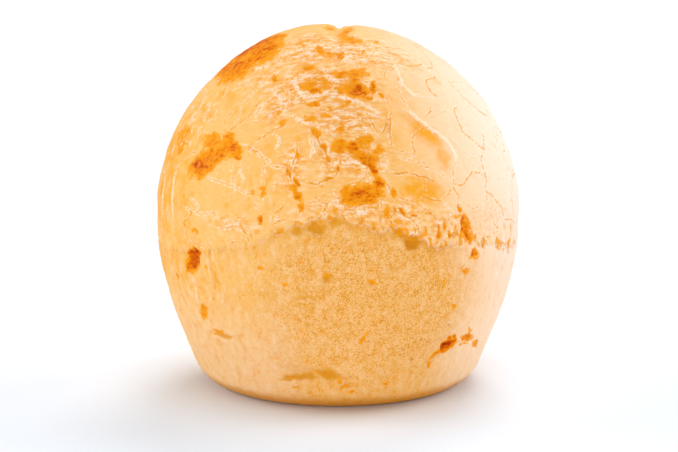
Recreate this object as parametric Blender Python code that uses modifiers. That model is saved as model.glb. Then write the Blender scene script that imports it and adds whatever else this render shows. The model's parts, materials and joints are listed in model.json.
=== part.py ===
"""A baked cheese ball: one solid, turned up from a flat foot and then pushed uneven by its own rise.

Metres, +Z up. The ball stands on the plane z = 0 with its foot centred on the Z axis, and its
fuller, more cracked side faces -Y.
"""

import math

import bmesh
import bpy
from mathutils import Matrix, Vector

MM = 0.001

# Driving sizes of the turned form
WIDTH = 60 * MM                    # across the fullest level
HEIGHT = 59.5 * MM                 # foot to the top of the crown
FULLEST_HEIGHT = 27 * MM           # level at which the ball is widest
FOOT_RADIUS = 18.8 * MM            # flat patch that stood on the baking tray
FOOT_ROUNDING = 5.0 * MM           # turn from the flat patch into the wall
WALL_TAPER = math.radians(24)      # lean of the wall where it leaves the foot

# How finely the form is faceted
FOOT_RINGS = 3
ROUNDING_RINGS = 4
WALL_RINGS = 13
CROWN_RINGS = 22
STEPS_ROUND = 108

# The upper skin is a leathery sheet that tore as the dough rose. It stands proud of the crumb below.
SKIN_STEP = 0.4 * MM               # how far the torn edge stands out
TEAR_HEIGHT = 30 * MM              # mean level of the torn edge
FRONT_TEAR_RISE = 2.4 * MM         # the edge climbs this much at the front, and drops at the back
TEAR_WAVE = 0.8 * MM               # smaller wandering of the edge
TEAR_WAVES_ROUND = (5, 8)          # two waves added together, in turns round the ball
TEAR_SOFTNESS = 1.6 * MM           # height over which the step fades out below the edge

# The crown opened along one line, from the front to the back
SPLIT_WIDTH = 3 * MM
SPLIT_DEPTH = 0.8 * MM
SPLIT_LENGTH = 26 * MM
SPLIT_LEVEL = 51 * MM              # the split fades out below this height
SPLIT_WANDER = 0.7 * MM            # how far the line strays to either side

# Broad swellings and hollows: compass angle (0 is +X, -90 is the front), height, reach, rise
SWELLINGS = (
    (-160, 44 * MM, 14 * MM, 0.5 * MM),    # full left shoulder
    (-10, 46 * MM, 14 * MM, 0.3 * MM),     # full right shoulder
    (-170, 58 * MM, 10 * MM, 0.4 * MM),    # left lobe of the crown
    (15, 22 * MM, 12 * MM, 0.4 * MM),
    (95, 40 * MM, 16 * MM, 0.5 * MM),
    (150, 24 * MM, 11 * MM, -0.5 * MM),
    (60, 16 * MM, 10 * MM, -0.4 * MM),
    (-95, 15 * MM, 12 * MM, -0.3 * MM),
)

# Dents and burst bubbles: compass angle, height, width, tallness, lean in degrees, depth
DENTS = (
    (-104, 6.0 * MM, 8 * MM, 5 * MM, 0, 0.8 * MM),      # double arch just above the foot
    (-89, 5.0 * MM, 7 * MM, 4 * MM, 0, 0.6 * MM),
    (-50, 10.4 * MM, 9 * MM, 4.4 * MM, 40, 1.0 * MM),   # slanting gash
    (-142, 24.5 * MM, 5 * MM, 7 * MM, 10, 0.9 * MM),    # brown pit on the left
    (-97, 31.5 * MM, 7 * MM, 5 * MM, 0, 0.9 * MM),      # bubbles that burst under the torn skin
    (-65, 28.8 * MM, 6 * MM, 5 * MM, 0, 0.9 * MM),
    (-45, 30.5 * MM, 4.4 * MM, 8 * MM, 0, 0.8 * MM),
    (55, 27 * MM, 7 * MM, 5 * MM, 0, 0.9 * MM),
    (128, 13 * MM, 8 * MM, 5 * MM, -30, 0.9 * MM),
    (20, 8 * MM, 9 * MM, 5 * MM, 10, 0.8 * MM),
)

CRUST_COLOUR = (0.86, 0.50, 0.17, 1.0)
CRUST_ROUGHNESS = 0.55


def clear_scene():
    for item in list(bpy.data.objects):
        bpy.data.objects.remove(item, do_unlink=True)


def foot_points():
    """Flat patch, from the wall side in to the axis, as (radius, height)."""
    return [(FOOT_RADIUS * (1 - i / FOOT_RINGS), 0.0) for i in range(1, FOOT_RINGS + 1)]


def rounding_points():
    """Arc from the wall down to the flat patch."""
    sweep = math.pi / 2 - WALL_TAPER
    points = []
    for i in range(ROUNDING_RINGS + 1):
        turn = sweep * (1 - i / ROUNDING_RINGS)
        radius = FOOT_RADIUS + FOOT_ROUNDING * math.sin(turn)
        points.append((radius, FOOT_ROUNDING * (1 - math.cos(turn))))
    return points


def wall_points():
    """Wall from the fullest level down to the rounding: it leaves upright and ends at the taper."""
    foot_end_radius, foot_end_height = rounding_points()[0]
    fall = FULLEST_HEIGHT - foot_end_height
    lean = fall * math.tan(WALL_TAPER)
    points = []
    for i in range(WALL_RINGS):
        t = i / WALL_RINGS
        full = 2 * t**3 - 3 * t**2 + 1
        tapered = t**3 - t**2
        radius = full * WIDTH / 2 + (1 - full) * foot_end_radius - tapered * lean
        points.append((radius, FULLEST_HEIGHT - fall * t))
    return points


def crown_points():
    """Quarter ellipse from the top down to just above the fullest level."""
    rise = HEIGHT - FULLEST_HEIGHT
    points = []
    for i in range(CROWN_RINGS):
        turn = math.pi / 2 * i / CROWN_RINGS
        points.append((WIDTH / 2 * math.sin(turn), FULLEST_HEIGHT + rise * math.cos(turn)))
    return points


def turned_ball():
    """The even form: a profile drawn down the +X side and turned about Z by a Screw modifier."""
    profile = crown_points() + wall_points() + rounding_points() + foot_points()
    mesh = bpy.data.meshes.new("cheese_ball_profile")
    edges = [(i, i + 1) for i in range(len(profile) - 1)]
    mesh.from_pydata([(radius, 0, height) for radius, height in profile], edges, [])
    ball = bpy.data.objects.new("cheese_ball", mesh)
    bpy.context.scene.collection.objects.link(ball)
    screw = ball.modifiers.new("Turn", "SCREW")
    screw.steps = STEPS_ROUND
    screw.render_steps = STEPS_ROUND
    screw.use_merge_vertices = True
    screw.merge_threshold = 0.01 * MM
    turned = bpy.data.meshes.new_from_object(ball.evaluated_get(bpy.context.evaluated_depsgraph_get()))
    ball.modifiers.clear()
    ball.data = turned
    bpy.data.meshes.remove(mesh)
    turned.name = "cheese_ball"
    return ball


def fade(distance, reach):
    """1 at the middle, falling smoothly to 0 at the reach."""
    t = min(abs(distance) / reach, 1.0)
    return (1 - t * t) ** 2


def place_on_ball(angle, height):
    """Point of the even form at a compass angle in degrees and a height."""
    profile = crown_points() + wall_points() + rounding_points()
    radius = min(profile, key=lambda point: abs(point[1] - height))[0]
    turn = math.radians(angle)
    return Vector((radius * math.cos(turn), radius * math.sin(turn), height))


def swelling_at(point):
    """Sum of the broad swellings and hollows at a point."""
    total = 0.0
    for angle, height, reach, rise in SWELLINGS:
        total += rise * fade((point - place_on_ball(angle, height)).length, reach)
    return total


def dent_at(point):
    """Sum of the dents at a point. Each is an oval lying in the plane that touches the ball there."""
    total = 0.0
    for angle, height, width, tallness, lean, depth in DENTS:
        offset = point - place_on_ball(angle, height)
        if offset.length > max(width, tallness):
            continue
        offset.rotate(Matrix.Rotation(math.radians(-90 - angle), 3, "Z"))
        offset.rotate(Matrix.Rotation(math.radians(lean), 3, "Y"))
        across = offset.x / (width / 2)
        along = offset.z / (tallness / 2)
        total += depth * fade(math.hypot(across, along), 1.0)
    return total


def skin_step_at(point):
    """How far the torn skin lifts the surface: full above the tear, and nothing well below it."""
    turn = math.atan2(point.y, point.x)
    wave = sum(math.sin(count * turn + count) for count in TEAR_WAVES_ROUND) / 2
    above = point.z - TEAR_HEIGHT - TEAR_WAVE * wave + FRONT_TEAR_RISE * math.sin(turn)
    return SKIN_STEP * min(max(above / TEAR_SOFTNESS + 1, 0), 1)


def split_at(point):
    """Depth of the split that runs over the crown."""
    if point.z < SPLIT_LEVEL:
        return 0.0
    wander = SPLIT_WANDER * math.sin(point.y / SPLIT_WIDTH)
    over_crown = fade(point.y, SPLIT_LENGTH / 2)
    return SPLIT_DEPTH * over_crown * fade(point.x - wander, SPLIT_WIDTH)


def push_uneven(ball):
    """Moves each point in or out along its normal. The flat patch of the foot stays where it is."""
    shape = bmesh.new()
    shape.from_mesh(ball.data)
    bmesh.ops.recalc_face_normals(shape, faces=shape.faces)
    shape.normal_update()
    for vert in shape.verts:
        lifted = min(vert.co.z / FOOT_ROUNDING, 1.0)
        push = swelling_at(vert.co) + skin_step_at(vert.co) - dent_at(vert.co) - split_at(vert.co)
        vert.co += vert.normal * push * lifted
    shape.to_mesh(ball.data)
    shape.free()


def centre_over_foot(ball):
    """Centres the ball's box on the Z axis and stands it on z = 0."""
    corners = [vert.co.copy() for vert in ball.data.vertices]
    middle = [(min(c[i] for c in corners) + max(c[i] for c in corners)) / 2 for i in (0, 1)]
    lowest = min(c.z for c in corners)
    ball.data.transform(Matrix.Translation((-middle[0], -middle[1], -lowest)))


def crust_material():
    material = bpy.data.materials.new("baked_cheese_crust")
    material.use_nodes = True
    shader = material.node_tree.nodes["Principled BSDF"]
    shader.inputs["Base Color"].default_value = CRUST_COLOUR
    shader.inputs["Roughness"].default_value = CRUST_ROUGHNESS
    shader.inputs["Metallic"].default_value = 0.0
    return material


def main():
    clear_scene()
    ball = turned_ball()
    push_uneven(ball)
    centre_over_foot(ball)
    ball.data.materials.clear()
    ball.data.materials.append(crust_material())
    ball.data.shade_smooth()
    collection = bpy.data.collections.new("pao_de_queijo")
    bpy.context.scene.collection.children.link(collection)
    bpy.context.scene.collection.objects.unlink(ball)
    collection.objects.link(ball)


main()
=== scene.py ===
import json
import math
import random

import bpy
import numpy as np
from mathutils import Matrix, Vector, noise
from mathutils.bvhtree import BVHTree

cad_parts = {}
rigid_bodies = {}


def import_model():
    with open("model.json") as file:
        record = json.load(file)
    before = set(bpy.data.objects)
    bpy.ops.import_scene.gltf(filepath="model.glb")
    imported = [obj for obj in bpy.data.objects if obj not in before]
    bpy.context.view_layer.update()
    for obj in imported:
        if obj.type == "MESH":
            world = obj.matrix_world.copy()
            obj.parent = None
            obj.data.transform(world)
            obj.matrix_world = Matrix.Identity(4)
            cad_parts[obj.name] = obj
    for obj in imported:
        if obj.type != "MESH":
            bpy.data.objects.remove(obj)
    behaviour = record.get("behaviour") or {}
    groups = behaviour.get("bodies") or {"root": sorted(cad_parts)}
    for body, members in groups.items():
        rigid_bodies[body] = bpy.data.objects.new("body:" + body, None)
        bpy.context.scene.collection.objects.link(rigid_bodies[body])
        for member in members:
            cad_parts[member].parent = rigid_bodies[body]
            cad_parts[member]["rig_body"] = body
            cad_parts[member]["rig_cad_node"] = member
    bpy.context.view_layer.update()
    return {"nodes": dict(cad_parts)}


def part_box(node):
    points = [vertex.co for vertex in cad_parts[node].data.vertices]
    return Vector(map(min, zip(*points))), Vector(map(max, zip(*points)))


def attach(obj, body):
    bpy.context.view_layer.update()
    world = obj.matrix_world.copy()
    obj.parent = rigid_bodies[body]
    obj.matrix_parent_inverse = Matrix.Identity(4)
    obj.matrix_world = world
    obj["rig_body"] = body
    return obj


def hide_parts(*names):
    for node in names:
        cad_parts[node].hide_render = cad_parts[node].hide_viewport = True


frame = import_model()
bpy.ops.object.select_all(action="DESELECT")

mm = 0.001
boxLow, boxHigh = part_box("cheese_ball")
ballWidth = boxHigh.x - boxLow.x
ballHeight = boxHigh.z


def toLinear(hexColour):
    parts = [int(hexColour[i:i + 2], 16) / 255 for i in (0, 2, 4)]
    return [c / 12.92 if c <= 0.04045 else ((c + 0.055) / 1.055) ** 2.4 for c in parts] + [1.0]


def addNode(tree, kind, inputs=None, **settings):
    # a kind without Node in it is a ShaderNode's; an input is a value, a node's first output or a socket
    node = tree.nodes.new(kind if "Node" in kind else "ShaderNode" + kind)
    for name, value in settings.items():
        setattr(node, name, value)
    for place, value in (inputs or {}).items():
        if isinstance(value, bpy.types.Node):
            value = value.outputs[0]
        if isinstance(value, bpy.types.NodeSocket):
            tree.links.new(value, node.inputs[place])
        else:
            node.inputs[place].default_value = value
    return node


def between(tree, value, low, high, most=1.0, least=0.0, bend="SMOOTHSTEP"):
    # least at low and most at high, whichever of the two is the greater, and no further beyond them
    return addNode(tree, "MapRange", {"Value": value, 1: low, 2: high, 3: least, 4: most},
                   interpolation_type=bend)


def evenly(tree, value, least, most, low=0.0, high=1.0):
    return between(tree, value, low, high, most, least, "LINEAR")


def times(tree, first, second, held=True):
    # a held product stays between 0 and 1
    return addNode(tree, "Math", {0: first, 1: second}, operation="MULTIPLY", use_clamp=held)


def addUp(tree, parts):
    total = parts[0]
    for part in parts[1:]:
        total = addNode(tree, "Math", {0: total, 1: part})
    return total


def stretched(tree, place, shares):
    # the pattern drawn over this place is longer along an axis whose share is small
    return addNode(tree, "VectorMath", {0: place, 1: shares}, operation="MULTIPLY")


def grainOf(tree, place, size, detail, roughness=0.6, distortion=0.0):
    return addNode(tree, "TexNoise", {"Vector": place, "Scale": 1 / size, "Detail": detail,
                                      "Roughness": roughness, "Distortion": distortion})


def pickOnly(piece):
    bpy.ops.object.select_all(action="DESELECT")
    piece.select_set(True)
    bpy.context.view_layer.objects.active = piece


def applyModifier(piece, kind, **settings):
    pickOnly(piece)
    modifier = piece.modifiers.new(kind, kind)
    for name, value in settings.items():
        setattr(modifier, name, value)
    bpy.ops.object.modifier_apply(modifier=modifier.name)


# The smooth ball: a cube cage pulled onto the CAD solid, then cut into the skin and the crumb under it

wrapping = {
    "middle": 29 * mm,        # height of the wrapping cage's centre
    "cage": 0.52,             # its radius, as a share of the ball's width
    "cuts": (38, 3),          # cuts across each of its six sides, which end about 0.3 mm apart on the ball
    "smoothing": 12,          # passes that take out the CAD facets
    "weld": 0.01 * mm,        # points of the solid this close are one
    "skinLowest": 20 * mm,    # the skin reaches down to here, hidden under the crumb
    "crumbHighest": 36 * mm,  # the crumb reaches up to here, hidden under the skin
    "footLevel": 0.05 * mm,   # the flat foot is filled in at this height
    "footSmooth": 2.5 * mm,   # and the relief comes in from there up to here
}


def smoothForm():
    form = frame["nodes"]["cheese_ball"].copy()
    form.data = form.data.copy()
    form.parent = None
    form.name = "formGuide"
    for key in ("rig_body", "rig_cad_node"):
        del form[key]
    bpy.context.scene.collection.objects.link(form)
    pickOnly(form)
    bpy.ops.object.mode_set(mode="EDIT")
    bpy.ops.mesh.select_all(action="SELECT")
    bpy.ops.mesh.remove_doubles(threshold=wrapping["weld"])
    bpy.ops.mesh.normals_make_consistent(inside=False)
    bpy.ops.object.mode_set(mode="OBJECT")
    return form


def wrappedBall(form):
    radius = ballWidth * wrapping["cage"]
    bpy.ops.object.select_all(action="DESELECT")
    bpy.ops.mesh.primitive_cube_add(size=radius, location=(0, 0, wrapping["middle"]))
    ball = bpy.context.active_object
    ball.name = "wrappedBall"
    bpy.ops.object.mode_set(mode="EDIT")
    for cuts in wrapping["cuts"]:
        bpy.ops.mesh.subdivide(number_cuts=cuts)
    bpy.ops.object.mode_set(mode="OBJECT")
    applyModifier(ball, "CAST", cast_type="SPHERE", factor=1.0, size=radius, use_radius_as_size=False)
    bpy.ops.object.transform_apply(location=True, rotation=True, scale=True)
    applyModifier(ball, "SHRINKWRAP", target=form, wrap_method="TARGET_PROJECT")
    applyModifier(ball, "SMOOTH", factor=0.5, iterations=wrapping["smoothing"])
    return ball


def cutCopy(ball, name, lowest, highest):
    piece = ball.copy()
    piece.data = ball.data.copy()
    piece.name = name
    piece.data.name = name
    bpy.context.scene.collection.objects.link(piece)
    pickOnly(piece)
    bpy.ops.object.mode_set(mode="EDIT")
    for height, side in ((lowest, "clear_inner"), (highest, "clear_outer")):
        if height is not None:
            bpy.ops.mesh.select_all(action="SELECT")
            bpy.ops.mesh.bisect(plane_co=(0, 0, height), plane_no=(0, 0, 1), use_fill=True, **{side: True})
    bpy.ops.object.mode_set(mode="OBJECT")
    return piece


print("wrapping the ball")
form = smoothForm()
ball = wrappedBall(form)
surface = BVHTree.FromObject(ball, bpy.context.evaluated_depsgraph_get())


def onBall(angle, height):
    # compass angle in degrees, 0 along +X and -90 at the front; height in mm
    turn = math.radians(angle)
    outward = Vector((math.cos(turn), math.sin(turn), 0))
    place, normal = surface.ray_cast(Vector((0, 0, height * mm)), outward)[:2]
    return (place, normal) if place is not None else onBall(angle, height - 0.3)


# Marks of the oven. A spot is (angle, height, width, tallness, lean, amount), in degrees and mm. "far" more
# of them are strewn in clusters over the sides and back, within these sizes and amounts. A mark's shape is
# how far it spreads beyond its size, how square it is and how softly it ends.

browned = {
    # an amount of 0.35 is pale gold, and 1.2 is nearly burnt
    "spots": (
        (-158.5, 54.2, 8.4, 8.2, 7, 0.84), (-171, 53.6, 9.7, 5.7, 15, 0.9), (-179, 55.5, 8, 5.3, 14, 1.08),
        (179, 57.4, 6.7, 4.6, 19, 0.95), (-155, 56.7, 8.4, 6.7, -37, 0.9), (-172, 56.7, 4.7, 6.3, -5, 1.1),
        (-164.5, 58.4, 3.9, 2.6, 20, 0.92), (-155.5, 55, 4, 2.7, 10, 0.95),
        (-162, 52.6, 4.5, 1.9, -2, 0.84), (-141, 40.1, 6.7, 4.1, 32, 0.92), (-136, 41.9, 6.6, 3.4, 17, 0.9),
        (-140, 43.5, 4.5, 2.9, -10, 0.8), (-130, 43.3, 4.6, 2.3, -15, 0.86),
        (-127, 42.4, 1.7, 2.1, 42, 0.84), (-132.5, 44.6, 2.8, 1.7, -3, 0.72), (-144, 40, 3, 2.3, 33, 1.05),
        (-138, 42.1, 3.4, 0.9, 18, 0.96), (-159.5, 43.2, 4.8, 3.7, 25, 0.5),
        (-156, 41.4, 1.5, 3.1, -39, 0.62), (-166.5, 33.9, 1.9, 3, 5, 0.52),
        (-114.5, 37.3, 1.6, 1.5, -18, 0.66), (-117.5, 36.9, 1.1, 0.6, 4, 0.46),
        (-114.5, 32.8, 0.9, 1.5, 1, 0.92), (-142.5, 24.2, 2.9, 5, -31, 1.06),
        (-142, 25.4, 3.7, 1.6, 27, 1.24), (-145, 23, 0.8, 1.7, -15, 0.9),
        (-153.5, 20.4, 1.1, 0.9, -9, 0.84), (-140.5, 15.7, 2.1, 3.2, -38, 0.62),
        (-135.5, 23.6, 0.9, 1.1, -38, 0.48), (-140.5, 29.3, 1.7, 0.7, -4, 0.66),
        (-145, 29.5, 1.6, 0.5, 12, 0.56), (-114, 24.8, 1.8, 0.9, 8, 0.52), (-106.5, 22.5, 1.5, 0.9, 7, 0.6),
        (-111, 16.9, 0.4, 1, -8, 0.66), (-135, 12.5, 2.9, 1.1, 16, 0.48), (-121, 20.6, 1.3, 1, 35, 0.42),
        (-167.5, 59.8, 3.4, 2, -6, 0.56), (-66, 59.4, 7.4, 2.1, -18, 0.66),
        (-75, 58.7, 3.7, 2.6, -18, 0.66), (-105, 57.6, 0.9, 3.5, 28, 0.6), (-97, 57, 2.2, 2.4, 34, 0.52),
        (-88, 57.1, 1.2, 2.1, -3, 0.6), (-122.5, 58, 1.6, 1, -4, 0.54), (-108.5, 55.3, 2.7, 1.5, -1, 0.58),
        (-124, 53.6, 1.9, 1.3, -35, 0.56), (-104.5, 53.1, 2.9, 1.5, 21, 0.58),
        (-101, 52.4, 2.3, 1, -4, 0.84), (-96, 53.3, 1.9, 1.7, -9, 0.5), (-101, 50.5, 2.3, 0.9, 1, 0.68),
        (-68.5, 57.4, 1.2, 0.9, 42, 0.74), (-49.5, 58.3, 0.7, 2.1, -43, 0.56),
        (-89, 54.6, 4.2, 1.8, 3, 0.56), (-79, 54.6, 3.2, 2.1, -5, 0.66), (-76, 55.2, 1.1, 0.9, 8, 0.8),
        (-82, 53.7, 1.9, 0.8, -13, 0.86), (-81.5, 52.4, 3.9, 3.2, -16, 0.86),
        (-80.5, 52.8, 2.1, 1.7, 9, 1.1), (-87.5, 52.5, 2, 2.4, 44, 0.62), (-78, 52, 0.6, 2.3, 6, 0.96),
        (-73, 52.6, 1, 2.8, -22, 0.9), (-70.5, 51.5, 1.3, 0.6, -28, 0.8), (-76.5, 51.3, 1.7, 1.2, 4, 0.66),
        (-86, 50.7, 1.3, 1.2, 9, 0.54), (-95, 48.9, 1.3, 0.9, -1, 0.6), (-93, 50, 1, 1, 39, 0.54),
        (-101.5, 48.5, 2.6, 1.3, 1, 0.48), (-98, 46.4, 1, 2.8, 27, 0.58), (-89, 46.9, 1.4, 1.3, 2, 0.6),
        (-111.5, 47.6, 1.8, 1, 44, 0.62), (-95, 44.4, 1, 1.2, 5, 0.64), (-93, 42.5, 0.7, 1.2, 1, 0.7),
        (-89.5, 44.6, 2.9, 2.4, 0, 0.68), (-85, 44.4, 2.9, 1.9, 0, 0.88), (-80.5, 45.1, 3, 2.5, 19, 0.62),
        (-75.5, 43.7, 1.8, 2, -26, 0.62), (-80.5, 42.7, 4, 1.9, -14, 0.98),
        (-78.5, 41.2, 1.3, 2.7, 14, 1.04), (-83.5, 41.1, 1.9, 0.5, -1, 0.6),
        (-82.5, 37.3, 6.8, 3.4, 5, 0.84), (-81.5, 37.8, 4.2, 2, -1, 0.98), (-77, 38.6, 2, 2.1, -21, 0.94),
        (-87.5, 37.4, 1.9, 2.9, -16, 0.72), (-88.5, 36.5, 0.7, 1.6, 9, 0.78),
        (-90, 41.5, 0.5, 1.4, -5, 0.94), (-93, 39.7, 1.9, 0.5, 21, 0.92), (-95.5, 38.7, 1.1, 0.3, 1, 0.66),
        (-102.5, 37.1, 1.5, 1.5, -22, 0.94), (-104.5, 38, 1.2, 1.6, 7, 0.66),
        (-103.5, 39.2, 0.8, 1.8, 30, 0.86), (-106.5, 40.5, 0.5, 1.7, 31, 0.78),
        (-104.5, 43.1, 0.6, 1.9, 8, 0.62), (-101.5, 35.3, 0.6, 2.5, 3, 0.6),
        (-84.5, 32.1, 2.9, 1, -1, 0.22), (-72.5, 37.3, 0.8, 2.5, 16, 0.66), (-75, 34.3, 1.3, 2.6, 18, 0.56),
        (-66, 29, 3.2, 2.8, -5, 0.16), (-67, 29.4, 1.9, 1.6, -19, 0.2), (-70.5, 30.9, 2.7, 1.8, -29, 0.26),
        (-46, 30.2, 2.3, 4.6, 15, 0.84), (-45.5, 28.9, 1.8, 2, -31, 0.92), (-49, 33.6, 0.9, 1.7, 37, 0.78),
        (-72, 34.9, 0.6, 1, -5, 0.66), (-70, 34.3, 0.9, 1.4, 7, 0.8), (-66, 33.6, 1.3, 0.6, -5, 0.66),
        (-60.5, 33.4, 2.2, 0.4, -18, 0.6), (-57.5, 30.4, 0.8, 2.3, 3, 0.8),
        (-55.5, 31.6, 0.7, 1.5, -1, 0.68), (-53.5, 29.8, 0.7, 1.5, 2, 0.74), (-51, 30.7, 0.5, 1.2, 2, 0.62),
        (-50, 32.5, 2.3, 0.4, -10, 0.56), (-43, 25.8, 2.2, 1.5, -20, 0.9),
        (-46.5, 23.2, 1.8, 1.2, -25, 0.78), (-49, 17.4, 1.6, 0.7, -15, 0.66),
        (-55, 21.8, 0.6, 1.5, 9, 0.52), (-20.5, 25.4, 1.1, 1.8, 22, 0.76), (-93, 24.1, 1.8, 1.9, 43, 0.24),
        (-92, 23.4, 1.3, 0.7, -22, 0.5), (-80, 23.2, 1.6, 0.5, -42, 0.6),
        (-81.5, 13.4, 0.6, 2.9, -17, 0.58), (-47, 10.4, 2.8, 2.2, 39, 1.34), (-51.5, 9.2, 3, 1.1, 30, 0.95),
        (-54, 7.4, 0.9, 1.7, -6, 0.66), (-45, 11.6, 1, 1, -7, 0.9), (-40, 11, 2.1, 0.8, -19, 0.8),
        (-37, 10.9, 3, 1.2, -24, 0.88), (-30, 8.9, 2.9, 1.2, -32, 0.78), (-38, 12.4, 1.7, 0.9, -44, 0.62),
        (-39.5, 10, 3.8, 0.5, -13, 0.62), (-105.5, 6.2, 6.7, 1.3, 12, 0.16), (-94, 6.6, 4.3, 2, -28, 0.18),
        (-90, 5.5, 1.4, 1.1, -39, 0.4), (-87.5, 4.2, 1.9, 0.8, 42, 0.3), (-85, 3.3, 1.1, 0.6, 21, 0.84),
        (-107.5, 4.1, 1.5, 0.4, -2, 0.78), (-54.5, 2.1, 1.6, 0.7, -22, 0.64), (-72, 4.6, 0.3, 0.4, 28, 1),
    ),
    "shape": (1.3, 2.4, 1),
    "far": 34, "seed": 6, "farSizes": (1.5, 8), "farAmounts": (0.5, 1.0),
}
pitted = {
    # a deeper pit has a greater amount
    "spots": (
        (-104.5, 6.2, 8.1, 2.1, 10, 0.42), (-92.5, 6.6, 5.2, 2.9, -32, 0.46), (-87.5, 4.2, 2, 1, 42, 0.4),
        (-142, 24.4, 2.6, 4.6, -32, 0.55), (-97, 31.9, 3.8, 2.5, -6, 0.66), (-91.5, 33, 3.2, 1.8, -4, 0.5),
        (-102.5, 31.3, 2.1, 1.8, 0, 0.5), (-66, 29, 3.1, 2.7, -7, 0.95), (-70.5, 30.9, 2.8, 1.9, -29, 0.65),
        (-46, 30.5, 2.2, 4.8, 14, 0.75), (-49, 33.6, 0.8, 1.7, 36, 0.45), (-72, 34.9, 0.6, 1, -5, 0.5),
        (-70, 34.3, 0.8, 1.4, 7, 0.65), (-66, 33.6, 1.1, 0.6, -5, 0.4), (-60.5, 33.4, 2.2, 0.4, -18, 0.35),
        (-57.5, 30.4, 0.7, 2.3, 2, 0.6), (-55.5, 31.6, 0.7, 1.5, -1, 0.45), (-53.5, 29.8, 0.6, 1.5, 2, 0.5),
        (-93, 24.1, 2, 2, 5, 0.75), (-80, 23.2, 1.6, 0.5, -42, 0.5), (-43, 25.8, 1.9, 1.3, -21, 0.3),
        (-46.5, 23.2, 1.7, 1.2, -25, 0.35), (-140.5, 15.7, 2, 3.1, -39, 0.2),
        (-114.5, 32.8, 0.8, 1.5, 2, 0.55), (-102.5, 37.1, 1.3, 1.4, 11, 0.45),
        (-103.5, 39.2, 0.7, 1.8, 30, 0.55), (-106.5, 40.5, 0.5, 1.7, 31, 0.45),
        (-90, 41.3, 0.4, 1.4, -5, 0.45), (-93, 39.7, 1.9, 0.5, 21, 0.45), (-47, 10.1, 2.7, 1.7, 32, 0.8),
        (-51, 9, 2.5, 0.9, 38, 0.6), (-54, 7.3, 0.8, 2.1, -5, 0.4), (-36.5, 10.5, 5, 1.3, -16, 0.35),
        (-81.5, 13.4, 0.7, 3.3, -17, 0.35), (-105.5, 5.8, 7.1, 1.3, 12, 0.75),
        (-94, 6.4, 4.3, 2.1, -29, 0.8), (-87.5, 4.2, 1.9, 0.9, 42, 0.45), (-107.5, 4.1, 1.5, 0.4, -2, 0.35),
        (-85, 3.3, 1, 0.6, 21, 0.4), (-134, 11.9, 7.1, 1.2, 2, 0.5), (-100, 20.4, 6.5, 1, 7, 0.42),
        (-79.5, 13.9, 2, 0.8, -3, 0.2), (-88, 21.6, 0.6, 3.1, 9, 0.35), (-82.5, 37.5, 6.4, 3.1, 5, 0.4),
        (-80.5, 42.4, 3.8, 2, -14, 0.5), (-78.5, 41.2, 1.1, 2.6, 14, 0.45), (-86, 44.4, 5.4, 2, -1, 0.35),
        (-81, 52.6, 3.9, 2.8, -15, 0.45), (-78, 52, 0.5, 2.3, 6, 0.35), (-73, 52.6, 0.8, 2.6, -22, 0.3),
        (-101, 52.4, 2.3, 0.8, -4, 0.45), (-101, 50.5, 2.3, 0.8, 2, 0.45), (-108.5, 55.3, 2.7, 1.2, 1, 0.3),
        (-124, 53.6, 1.8, 1.2, -34, 0.45), (-95, 44.4, 0.8, 1.2, 4, 0.4), (-93, 42.5, 0.6, 1.1, 1, 0.4),
        (-98, 46.4, 0.8, 2.8, 27, 0.4), (-75, 58.7, 3.7, 2, -12, 0.35), (-66, 59.4, 6.8, 1.7, -22, 0.35),
        (-136, 42.1, 6.5, 2.2, 22, 0.25), (-90, 58.5, 1.7, 22, 10, 0.7), (90, 58, 1.7, 22, 0, 0.7),
    ),
    "shape": (1.1, 3, 1.5),
    "far": 16, "seed": 23, "farSizes": (1.2, 5), "farAmounts": (0.3, 0.8),
}
warmed = {
    # broad patches of a deeper gold, partly the crust's own tone and partly painted shade beside the ridges
    # of the plates
    "spots": (
        (-56, 45.7, 3.7, 8.5, 44, 1.1), (-52, 41.8, 3.8, 5.2, 3, 0.8), (-62, 37, 9.7, 4.9, -12, 1.1),
        (-60, 47.5, 4.6, 2.4, -37, 0.5), (-34, 52.6, 2.6, 3.4, -9, 0.7), (-165, 40.3, 13.1, 5.9, -6, 0.7),
        (-158, 31.9, 5.7, 8.6, 20, 0.45), (-152, 47.4, 8.1, 2.7, -15, 0.35), (-134, 48.4, 3.8, 2, 14, 0.5),
        (-143, 49.8, 7.1, 3.6, -6, 0.3), (-104, 45.9, 4.6, 3.4, -4, 0.25), (-108, 37.7, 3.4, 3.2, -14, 0.4),
        (-94, 35.2, 3.8, 1.9, 1, 0.3), (-123, 32.1, 5.4, 1.6, 7, 0.5), (-99, 15.7, 6.4, 7.5, -16, 0.45),
        (-102, 19.7, 5.2, 2.1, 4, 0.4), (-121, 18.3, 5.2, 11.1, -13, 0.35),
        (-136, 18.1, 4.6, 15.5, -17, 0.15), (-76, 32.4, 6.6, 2.6, -3, 0.5), (-69, 32.7, 6.2, 1.6, -4, 0.6),
        (-57, 32.4, 4.7, 1.9, -7, 0.3), (-120, 57.2, 8, 5.5, -39, 0.5), (-89, 49.7, 7.7, 3.7, 0, 0.35),
        (-73, 48.8, 3.9, 6.8, -16, 0.3), (-141, 8.8, 10.1, 4.6, 29, 0.2),
    ),
    "far": 16, "seed": 3, "farSizes": (4, 14), "farAmounts": (0.3, 0.8),
}
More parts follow.
